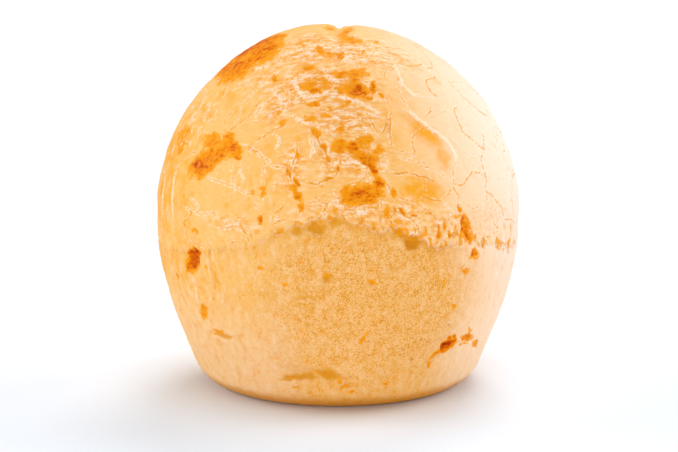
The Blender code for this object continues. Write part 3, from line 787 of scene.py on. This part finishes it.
def skinTree():
    tree, start, position = startRelief("crackedSkinRelief")
    relief = skinRelief
    leather = grainOf(tree, position, relief["leatherSize"], 4.0, 0.55)
    leather = evenly(tree, leather, -relief["leather"], relief["leather"])

    # strands: level ridges where the noise crosses its middle, in the rumpled places
    level = stretched(tree, position, (relief["strandLength"], 1, 1))
    strands = evenly(tree, grainOf(tree, level, relief["strandSize"], 2.5, 0.6, 0.7), -1.0, 1.0, 0.34, 0.66)
    strands = addNode(tree, "Math", {0: strands}, operation="ABSOLUTE")
    strands = times(tree, between(tree, strands, 0.0, 0.6, -0.65, 0.45), painted(tree, "folds"), held=False)
    strandHeight = times(tree, strands, relief["strand"], held=False)
    wrinkles = wrinkleOf(tree, position)
    wrinkleHeight = times(tree, wrinkles, relief["wrinkle"], held=False)

    # cracks: how far the nearest one is, how much it gapes and how high its lips stand
    network = addNode(tree, "GeometryNodeObjectInfo", {"Object": lines}, transform_space="ORIGINAL")
    network = network.outputs["Geometry"]
    near = addNode(tree, "GeometryNodeProximity", {0: network}, target_element="EDGES")
    index = addNode(tree, "GeometryNodeSampleNearest",
                    {"Geometry": network, "Sample Position": near.outputs["Position"]}, domain="POINT")
    gape, lip = (addNode(tree, "GeometryNodeSampleIndex",
                         {"Geometry": network, "Value": painted(tree, name), "Index": index},
                         data_type="FLOAT", domain="POINT") for name in ("gape", "lip"))
    distance = near.outputs["Distance"]
    flare = evenly(tree, grainOf(tree, position, relief["flareSize"], 1.0, 0.5), *relief["flare"], 0.3, 0.7)
    reach = addNode(tree, "Math", {0: distance, 1: flare}, operation="DIVIDE")
    rise = times(tree, between(tree, reach, 0.0, relief["lipWidth"], 0.0, relief["lip"]), lip, held=False)
    drop = between(tree, distance, 0.0, relief["gapeWidth"], 0.0, -relief["gape"])
    drop = times(tree, drop, gape, held=False)

    edge = edgeOf(tree, position)
    gapHeight, sunk = cutInto(tree, position, edge)
    slope = evenly(tree, painted(tree, "sharp"), *relief["tuckSlope"])
    tuck = addNode(tree, "Math", {0: edge, 1: slope}, operation="DIVIDE")
    tuck = between(tree, tuck, -0.8, 0.3, 0.0, -relief["tuck"])

    height = addUp(tree, (swellOf(tree, position), leather, strandHeight, wrinkleHeight, rise, drop,
                          gapHeight, tuck, sunk))
    finishRelief(tree, start, height, {
        "rest": ("FLOAT_VECTOR", position),
        "crackPoint": ("FLOAT_VECTOR", near.outputs["Position"]),
        "crackDistance": ("FLOAT", distance),
        "crackGape": ("FLOAT", gape.outputs[0]),
        "crackLip": ("FLOAT", lip.outputs[0]),
        "strands": ("FLOAT", strands),
        "streaks": ("FLOAT", wrinkles),
        "edge": ("FLOAT", edge),
    })
    return tree


def crumbTree():
    tree, start, position = startRelief("porousCrumbRelief")
    relief = crumbRelief
    sandiness = evenly(tree, painted(tree, "sandy"), relief["smoothest"], 1.0)
    lump = grainOf(tree, position, relief["lumpSize"], 4.0)
    lump = evenly(tree, lump, -relief["lump"], relief["lump"])
    grain = grainOf(tree, position, relief["grainSize"], 3.0, 0.7)
    grain = times(tree, evenly(tree, grain, -relief["grain"], relief["grain"]), sandiness, held=False)

    cell = addNode(tree, "TexVoronoi", {"Vector": position, "Scale": 1 / relief["poreSize"]})
    chance = addNode(tree, "FunctionNodeSeparateColor", {0: cell.outputs["Color"]})
    size = evenly(tree, chance, 0.0, relief["poreWidest"], *relief["poreChance"])
    pore = addNode(tree, "Math", {0: size, 1: cell.outputs["Distance"]}, operation="SUBTRACT")
    pore = times(tree, between(tree, pore, -0.04, 0.16), sandiness, held=False)
    poreDepth = times(tree, pore, -relief["pore"], held=False)
    wrinkles = wrinkleOf(tree, position)
    wrinkleHeight = times(tree, wrinkles, relief["wrinkle"] * skinRelief["wrinkle"], held=False)

    # at the torn edge the crumb steps back under the skin
    edge = edgeOf(tree, position)
    bare = evenly(tree, edge, 0.0, 1.0, 0.6, -0.6)
    rough = times(tree, addUp(tree, (lump, grain, poreDepth, wrinkleHeight)), bare, held=False)
    backBy = evenly(tree, painted(tree, "sharp"), -relief["softStep"] * relief["step"], -relief["step"])
    step = times(tree, between(tree, edge, -0.8, 0.4), backBy, held=False)
    under = addUp(tree, (step, evenly(tree, edge, 0.0, -relief["underSkin"], 0.4, 3.2)))
    gapHeight, sunk = cutInto(tree, position, edge)
    height = addUp(tree, (swellOf(tree, position), rough, gapHeight, under, sunk))
    level = addNode(tree, "SeparateXYZ", {0: position}).outputs["Z"]
    aboveFoot = between(tree, level, wrapping["footLevel"] * 2, wrapping["footSmooth"])
    finishRelief(tree, start, times(tree, height, aboveFoot, held=False), {
        "rest": ("FLOAT_VECTOR", position),
        "edge": ("FLOAT", edge),
        "streaks": ("FLOAT", wrinkles),
        "pore": ("FLOAT", pore),
    })
    return tree


print("raising the relief")
skin = cutCopy(ball, "crackedSkin", wrapping["skinLowest"], None)
crumb = cutCopy(ball, "porousCrumb", wrapping["footLevel"], wrapping["crumbHighest"])
for piece, makeTree in ((skin, skinTree), (crumb, crumbTree)):
    markPiece(piece)
    applyModifier(piece, "NODES", node_group=makeTree())
    piece.data.shade_smooth()
    print(piece.name, "triangles", sum(len(face.vertices) - 2 for face in piece.data.polygons))
for helper in (ball, form, lines):
    bpy.data.objects.remove(helper)


# Materials

crustColours = {
    "skin": "F5BD6E", "skinWarm": "F4A626", "skinPale": "FDE2CC", "skinDeep": "F09806",
    "flaky": "FCD09C", "highlightPale": "FCE9DA", "gapShadeGold": "F2A01C",
    "crack": "E8930A", "crackFine": "F09E14", "crackRimHighlight": "FFEEDC",
    "crumb": "ECAD5A", "crumbGold": "DD8E0E", "crumbPale": "F5C58A", "pore": "CC7E0A", "hollowShadeGold": "E29A1E",
    "gold": "F49C08", "brown": "EA8402", "dark": "CC5602", "burnt": "9C2E02",
}
grains = {
    "flake": 0.70 * mm, "flakeLength": 0.30, "mottle": 3.2 * mm, "fleck": 0.9 * mm,
    "sand": 0.24 * mm, "pinhole": 1.0 * mm, "cloud": 1.3 * mm, "dab": 1.2 * mm, "dabTallness": 0.6,
}
crackLook = {
    # how far from a crack its golden line, darkened as painted shade, and its pale rim, a painted highlight,
    # start and are full, and how strong each is at most
    "line": (0.21 * mm, 0.08 * mm, 0.85), "rim": (0.40 * mm, 0.22 * mm, 0.56),
    "fray": 0.3 * mm, "frayGrain": 0.7 * mm, "dotGrain": 0.55 * mm,
    "slack": 0.25 * mm,           # the distance kept at each point of the mesh is right to within this
}
toastSteps = (
    # colour, the amounts of browning at which it starts and is full, and how much of it shows
    ("gold", 0.14, 0.40, 0.95), ("brown", 0.46, 0.84, 0.95),
    ("dark", 0.80, 1.04, 0.9), ("burnt", 1.10, 1.36, 0.9),
)
belly = {
    # under the belly the smooth flanks are painted paler, as painted light: where each side starts and is
    # full, and by how much
    "left": (-3 * mm, -11 * mm, 0.18), "right": (12 * mm, 22 * mm, 0.42), "level": (22 * mm, 8 * mm),
    # the foot's golden band is its browning on the tray and painted shade where it meets the floor
    "foot": (2.0 * mm, 0.2 * mm, 0.7), "footUneven": 2 * mm,    # and the foot is golden
}
finishes = {
    "scatter": 0.1, "scatterReach": (1.0, 0.6, 0.25), "scatterSize": 1.0 * mm, "shine": 0.05,
    "bumpStrength": 0.7, "skinBump": 0.14 * mm, "crumbBump": 0.10 * mm,
    "skinRoughness": 0.5, "crumbRoughness": 0.62,
}


def blend(tree, share, first, second):
    return addNode(tree, "Mix", {0: share, 6: first, 7: second}, data_type="RGBA").outputs[2]


def layered(tree, colour, *layers):
    # each layer is how much of it shows and the name of its colour
    for share, name in layers:
        colour = blend(tree, share, colour, toLinear(crustColours[name]))
    return colour


def fieldOf(tree, name):
    return addNode(tree, "Attribute", attribute_name=name).outputs["Fac"]


def flakesOf(tree, rest):
    # level flakes, much longer than tall
    return grainOf(tree, stretched(tree, rest, (grains["flakeLength"], 1, 1)), grains["flake"], 4.0, 0.68)


def smoothCrust(tree, rest):
    # dry smooth crust: pale gold, clouded with a deeper gold that is partly painted shade, and paler on one
    # side as a painted highlight
    mottle = grainOf(tree, rest, grains["mottle"], 7.0, 0.66)
    warm = fieldOf(tree, "warm")
    clouds = addUp(tree, (times(tree, warm, 0.42, held=False), mottle))
    paintedHighlight = times(tree, fieldOf(tree, "paintedHighlight"), between(tree, warm, 1.2, 0.2, 0.9))
    return layered(tree, toLinear(crustColours["skin"]),
                   (between(tree, clouds, 0.50, 0.86), "skinWarm"), (paintedHighlight, "highlightPale"))


def tornFringe(tree, rest, base):
    # pale fibres along the torn edge, gold between them as painted shade in the gaps, and a band of painted
    # shadow under the middle of the edge where the skin overhangs
    edge, sharp = fieldOf(tree, "edge"), fieldOf(tree, "sharp")
    frayed = between(tree, grainOf(tree, rest, grains["flake"], 3.0), 0.38, 0.58)
    shaded = times(tree, between(tree, edge, -2.4, -0.1, 0.7), between(tree, edge, 0.3, -0.3))
    shaded = times(tree, times(tree, shaded, sharp), between(tree, fieldOf(tree, "paintedHighlight"), 0.35, 0.0))
    apart = addNode(tree, "Math", {0: edge}, operation="ABSOLUTE")
    rim = times(tree, times(tree, between(tree, apart, 0.40, 0.05, 0.35), sharp), frayed)
    gaps = gapsOf(tree, rest, edge, fieldOf(tree, "fringe"))
    shown = between(tree, sharp, 0.1, 0.55)
    around = times(tree, times(tree, between(tree, gaps, 0.02, 0.25, 0.4), frayed), shown)
    inside = times(tree, between(tree, gaps, 0.25, 0.60, 0.92), shown)
    return layered(tree, base, (shaded, "crumbGold"), (rim, "skinPale"),
                   (around, "skinPale"), (inside, "gapShadeGold"))


def flecked(tree, rest, share, base):
    # dabs of gold and of pale starch, a little taller than wide, and the fine wrinkles: golden in their
    # grooves as painted shade and pale on their crests
    dabs = grainOf(tree, stretched(tree, rest, (1, 1, grains["dabTallness"])), grains["dab"], 5.0, 0.7)
    streaks = fieldOf(tree, "streaks")
    return layered(tree, base,
                   (times(tree, between(tree, dabs, 0.49, 0.38, 0.75), share), "crumbPale"),
                   (times(tree, between(tree, dabs, 0.555, 0.64, 0.7), share), "skinDeep"),
                   (between(tree, streaks, -0.10, -0.60, 0.6), "skinWarm"),
                   (between(tree, streaks, 0.15, 0.60, 0.6), "skinPale"))


def pinholes(tree, rest):
    # the smallest bubbles of the crumb, some in each cell too small to see, drawn only as dark dots of
    # painted shade
    cell = addNode(tree, "TexVoronoi", {"Vector": rest, "Scale": 1 / grains["pinhole"]})
    size = evenly(tree, addNode(tree, "SeparateColor", {0: cell.outputs["Color"]}), 0.0, 0.20, 0.35, 1.0)
    inside = addNode(tree, "Math", {0: size, 1: cell.outputs["Distance"]}, operation="SUBTRACT")
    return between(tree, inside, -0.02, 0.08, 0.8)


def toasted(tree, rest, flakes, base):
    # browned cheese: gold through brown to nearly burnt, streaked, and soft where it ends
    toast = fieldOf(tree, "toast")
    streaks = grainOf(tree, rest, grains["fleck"], 5.0, 0.7, 1.0)
    streaks = evenly(tree, addUp(tree, (streaks, times(tree, flakes, 1.4, held=False))), -0.5, 0.5, 0.8, 1.6)
    level = addUp(tree, (toast, times(tree, streaks, between(tree, toast, 0.0, 0.3), held=False)))
    return layered(tree, base, *[(between(tree, level, *span), name) for name, *span in toastSteps])


def startMaterial(name):
    material = bpy.data.materials.new(name)
    material.use_nodes = True
    tree = material.node_tree
    shader = tree.nodes["Principled BSDF"]
    shader.inputs["Subsurface Weight"].default_value = finishes["scatter"]
    shader.inputs["Subsurface Radius"].default_value = finishes["scatterReach"]
    shader.inputs["Subsurface Scale"].default_value = finishes["scatterSize"]
    shader.inputs["Specular IOR Level"].default_value = finishes["shine"]
    return material, tree, shader, addNode(tree, "Attribute", attribute_name="rest").outputs["Vector"]


def finishMaterial(tree, shader, colour, height, bumpDepth, roughness):
    bump = addNode(tree, "Bump",
                   {"Height": height, "Distance": bumpDepth, "Strength": finishes["bumpStrength"]})
    tree.links.new(colour, shader.inputs["Base Color"])
    tree.links.new(bump.outputs[0], shader.inputs["Normal"])
    shader.inputs["Roughness"].default_value = roughness


def crackMarks(tree, rest, gape, lip):
    # a crack's golden line, the body showing through darkened as painted shade, and its pale rim, a painted
    # highlight, each as how much of it shows
    point = addNode(tree, "Attribute", attribute_name="crackPoint").outputs["Vector"]
    apart = addNode(tree, "VectorMath", {0: rest, 1: point}, operation="DISTANCE").outputs["Value"]
    least = addNode(tree, "Math", {0: fieldOf(tree, "crackDistance"), 1: crackLook["slack"]},
                    operation="SUBTRACT")
    apart = addNode(tree, "Math", {0: apart, 1: least}, operation="MAXIMUM")
    frayed = grainOf(tree, rest, crackLook["frayGrain"], 3.0)
    apart = addUp(tree, (apart, evenly(tree, frayed, -crackLook["fray"], crackLook["fray"])))
    broken = grainOf(tree, rest, crackLook["dotGrain"], 2.0)
    # a narrow crack shows as dots, and a wide one as a whole line
    dotted = addUp(tree, (broken, times(tree, gape, 0.30, held=False)))
    line = times(tree, between(tree, apart, *crackLook["line"]), between(tree, dotted, 0.59, 0.68))
    line = times(tree, line, between(tree, fieldOf(tree, "paintedHighlight"), 2.6, 0.2))
    patchy = addUp(tree, (broken, times(tree, lip, 0.25, held=False)))
    return line, times(tree, between(tree, apart, *crackLook["rim"]), between(tree, patchy, 0.56, 0.70))


def skinMaterial():
    # baked tapioca starch skin: thin and dry, pale where it lifts and golden in its cracks, the gold in its
    # low places partly painted shade
    material, tree, shader, rest = startMaterial("bakedStarchSkin")
    flakes = flakesOf(tree, rest)
    strands, folds, edge = (fieldOf(tree, name) for name in ("strands", "folds", "edge"))
    gape, lip = fieldOf(tree, "crackGape"), fieldOf(tree, "crackLip")
    colour = layered(tree, smoothCrust(tree, rest),
                     (times(tree, folds, 0.6), "flaky"),
                     # the strands are golden where they sink, as painted shade, and pale where they rise
                     (between(tree, strands, -0.05, -0.45, 0.68), "skinDeep"),
                     (between(tree, strands, 0.08, 0.36, 0.7), "skinPale"))
    colour = flecked(tree, rest, between(tree, edge, 4.0, 0.5), colour)
    flaky = evenly(tree, folds, 0.10, 1.0)
    line, rim = crackMarks(tree, rest, gape, lip)
    colour = layered(tree, colour,
                     # the flakes are golden in their low parts, as painted shade under each flake, and pale
                     # on their tops
                     (times(tree, between(tree, flakes, 0.475, 0.415, 0.9), flaky), "skinDeep"),
                     (times(tree, between(tree, flakes, 0.545, 0.59, 0.9), flaky), "skinPale"),
                     # the cracks' pale rims, a painted highlight
                     (rim, "crackRimHighlight"))
    colour = tornFringe(tree, rest, colour)
    # a hollow is painted golden where it cuts the skin under the torn edge, as painted shade
    holes = between(tree, fieldOf(tree, "hollow"), 0.12, 0.42, 0.9)
    holes = times(tree, holes, between(tree, edge, 0.011, 0.008))
    colour = toasted(tree, rest, flakes, layered(tree, colour, (holes, "gapShadeGold")))
    # the crack's golden line: the body showing through, darkened as painted shade
    lineColour = layered(tree, toLinear(crustColours["crackFine"]), (between(tree, gape, 0.3, 1.0), "crack"))
    colour = blend(tree, line, colour, lineColour)
    raised = times(tree, flakes, flaky, held=False)
    finishMaterial(tree, shader, colour, raised, finishes["skinBump"], finishes["skinRoughness"])
    return material


def crumbMaterial():
    # baked cheese crumb: matte and sandy, with small pores painted darker inside as painted shade
    material, tree, shader, rest = startMaterial("bakedCheeseCrumb")
    sandy, paintedHighlight, hollow = (fieldOf(tree, name) for name in ("sandy", "paintedHighlight", "hollow"))
    cloud = grainOf(tree, rest, grains["cloud"], 5.0, 0.7)
    sand = addUp(tree, (grainOf(tree, rest, grains["sand"], 2.0), evenly(tree, cloud, 0.25, 0.75)))
    shown = evenly(tree, sandy, 0.15, 1.0, 0.0, 0.7)
    colour = layered(tree, smoothCrust(tree, rest),
                     (shown, "crumb"),
                     (times(tree, between(tree, sand, 0.98, 0.84, 0.95), shown), "crumbGold"),
                     (times(tree, between(tree, sand, 1.01, 1.14, 0.9), shown), "crumbPale"))
    colour = flecked(tree, rest, between(tree, sandy, 1.5, 0.1), colour)
    place = addNode(tree, "SeparateXYZ", {0: rest})
    across, level = place.outputs["X"], place.outputs["Z"]
    # the lower flanks are painted paler, as painted light
    flanks = addUp(tree, (between(tree, across, *belly["left"]), between(tree, across, *belly["right"])))
    low = times(tree, between(tree, level, *belly["level"]), between(tree, sandy, 1.0, 0.2))
    colour = layered(tree, colour,
                     # pinholes painted as dark dots of shade
                     (times(tree, pinholes(tree, rest), shown), "pore"),
                     # the painted highlight again, on the crumb
                     (times(tree, paintedHighlight, 0.7), "highlightPale"),
                     (times(tree, low, flanks), "highlightPale"),
                     # the pores and hollows are painted darker, as painted shade in them
                     (between(tree, fieldOf(tree, "pore"), 0.2, 0.9, 0.7), "pore"),
                     (between(tree, hollow, 0.1, 0.5, 0.85), "hollowShadeGold"))
    colour = tornFringe(tree, rest, colour)
    # the foot's golden band: browning, and painted shade where it meets the floor
    foot = times(tree, cloud, belly["footUneven"], held=False)
    foot = addNode(tree, "Math", {0: level, 1: foot}, operation="SUBTRACT")
    colour = layered(tree, colour,
                     # and the deepest hollows darker still, as painted shade
                     (between(tree, hollow, 0.4, 0.9, 0.5), "pore"),
                     (between(tree, foot, *belly["foot"]), "crumbGold"))
    colour = toasted(tree, rest, flakesOf(tree, rest), colour)
    finishMaterial(tree, shader, colour, sand, finishes["crumbBump"], finishes["crumbRoughness"])
    return material


for piece, material in ((skin, skinMaterial()), (crumb, crumbMaterial())):
    piece.data.materials.clear()
    piece.data.materials.append(material)
    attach(piece, "root")
    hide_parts("cheese_ball")

# Floor, light and camera

studio = {
    "floorColour": "EBF2FB", "floorSize": 8.0,
    "skyStrength": 0.37,
    # power in watts, then place and size in metres
    "lights": (
        ("overheadSoftbox", 17, (0.10, -0.10, 2.50), 1.4),
        ("rightSoftbox", 25, (1.95, 0.85, 0.80), 1.5),
        ("leftSoftbox", 20.5, (-2.00, 0.60, 0.80), 1.5),
        ("backSoftbox", 26, (0.50, 1.90, 1.90), 1.4),
        ("frontSoftbox", 35, (-0.30, -2.90, 0.60), 1.1),
    ),
}
viewing = {
    "elevation": 12.0, "distance": 650 * mm, "lens": 206.9,
    "lookAt": (0.13 * mm, 0, 0.435 * ballHeight),
}


def addFloor():
    bpy.ops.object.select_all(action="DESELECT")
    bpy.ops.mesh.primitive_plane_add(size=studio["floorSize"], location=(0, 0, 0))
    floor = bpy.context.active_object
    floor.name = "studioFloor"
    material = bpy.data.materials.new("whitePaperSweep")
    material.use_nodes = True
    shader = material.node_tree.nodes["Principled BSDF"]
    shader.inputs["Base Color"].default_value = toLinear(studio["floorColour"])
    shader.inputs["Roughness"].default_value = 0.9
    floor.data.materials.append(material)


def addSoftbox(name, power, place, size):
    lamp = bpy.data.lights.new(name, "AREA")
    lamp.energy = power
    lamp.size = size
    lamp.shape = "DISK"
    light = bpy.data.objects.new(name, lamp)
    bpy.context.scene.collection.objects.link(light)
    light.location = place
    aim = Vector((0, 0, ballHeight / 2)) - Vector(place)
    light.rotation_euler = aim.to_track_quat("-Z", "Y").to_euler()


def addSky():
    world = bpy.data.worlds.new("paleStudio")
    world.use_nodes = True
    bpy.context.scene.world = world
    sky = world.node_tree.nodes["Background"]
    sky.inputs["Color"].default_value = (1, 1, 1, 1)
    sky.inputs["Strength"].default_value = studio["skyStrength"]


def addCamera():
    target = Vector(viewing["lookAt"])
    tilt = math.radians(viewing["elevation"])
    back = Vector((0, -math.cos(tilt), math.sin(tilt)))
    lens = bpy.data.cameras.new("frontCamera")
    lens.lens = viewing["lens"]
    camera = bpy.data.objects.new("frontCamera", lens)
    bpy.context.scene.collection.objects.link(camera)
    camera.location = target + back * viewing["distance"]
    camera.rotation_euler = (-back).to_track_quat("-Z", "Y").to_euler()
    bpy.context.scene.camera = camera


print("setting the studio")
addFloor()
addSky()
for softbox in studio["lights"]:
    addSoftbox(*softbox)
addCamera()
bpy.context.scene.view_settings.view_transform = "Standard"
